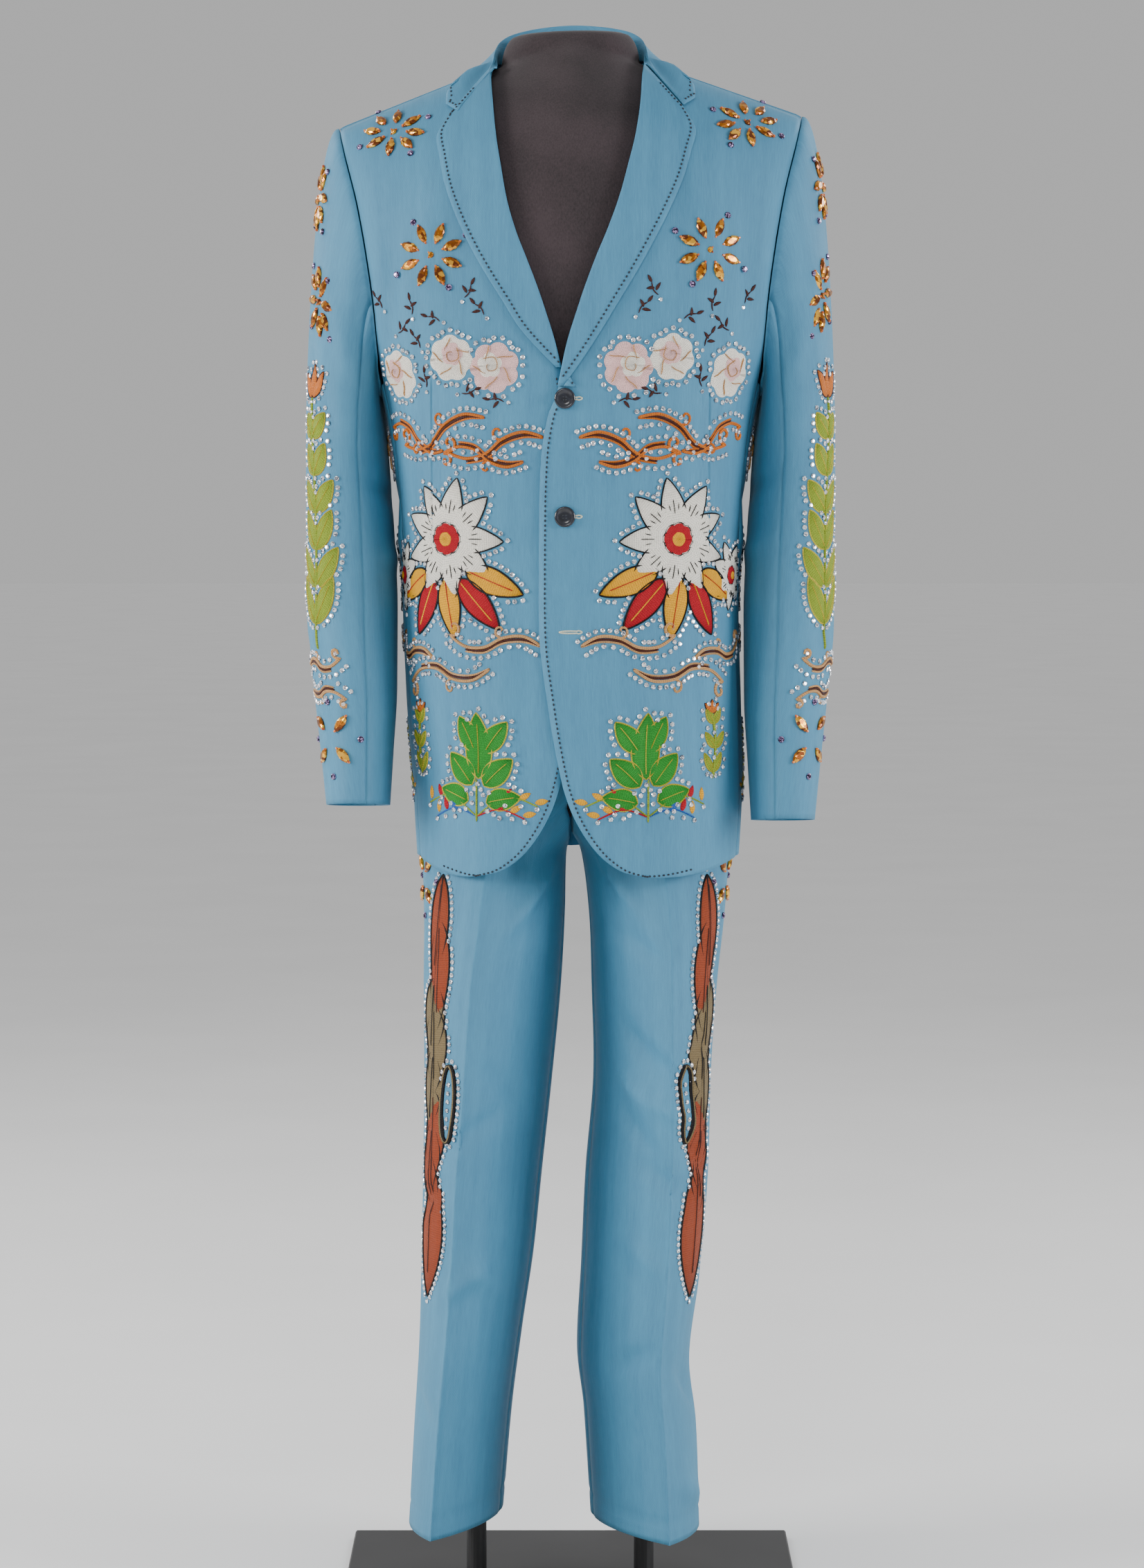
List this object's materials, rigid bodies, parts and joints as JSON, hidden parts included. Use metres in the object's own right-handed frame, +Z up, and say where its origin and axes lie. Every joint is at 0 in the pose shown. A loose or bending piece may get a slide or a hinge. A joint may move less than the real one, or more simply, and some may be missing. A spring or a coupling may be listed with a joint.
{
  "type": "western suit on a dress form",
  "caption": "Light blue western jacket and trousers with raised amber stones, filled out on a dark limbless dress form over a flat base plate.",
  "frame": {"origin": "middle of the base plate's underside, on the floor", "axes": "+Z up, -Y to the front of the suit, +X to the wearer's left"},
  "size_m": [0.4948, 0.36, 1.4851],
  "materials": {
    "cloth": "light steel blue wool twill with a soft sheen",
    "form": "charcoal brown jersey stretched smooth",
    "button": "polished dark navy horn-like plastic",
    "stand": "matt black powder coat",
    "stone": "foil-backed cut glass",
    "embroidery": "chain-stitched rayon thread"
  },
  "bodies": {
    "root": {"jacket_front_left": "cloth", "jacket_front_right": "cloth", "jacket_back_left": "cloth", "jacket_back_right": "cloth", "jacket_side_left": "cloth", "jacket_side_right": "cloth", "lapel_left": "cloth", "lapel_right": "cloth", "sleeve_top_left": "cloth", "sleeve_top_right": "cloth", "sleeve_under_left": "cloth", "sleeve_under_right": "cloth", "trouser_front_left": "cloth", "trouser_front_right": "cloth", "trouser_back_left": "cloth", "trouser_back_right": "cloth", "collar": "cloth", "waistband": "cloth", "button_upper": "button", "button_lower": "button", "dress_form": "form", "rod_left": "stand", "rod_right": "stand", "base_plate": "stand"}
  },
  "joints": []
}
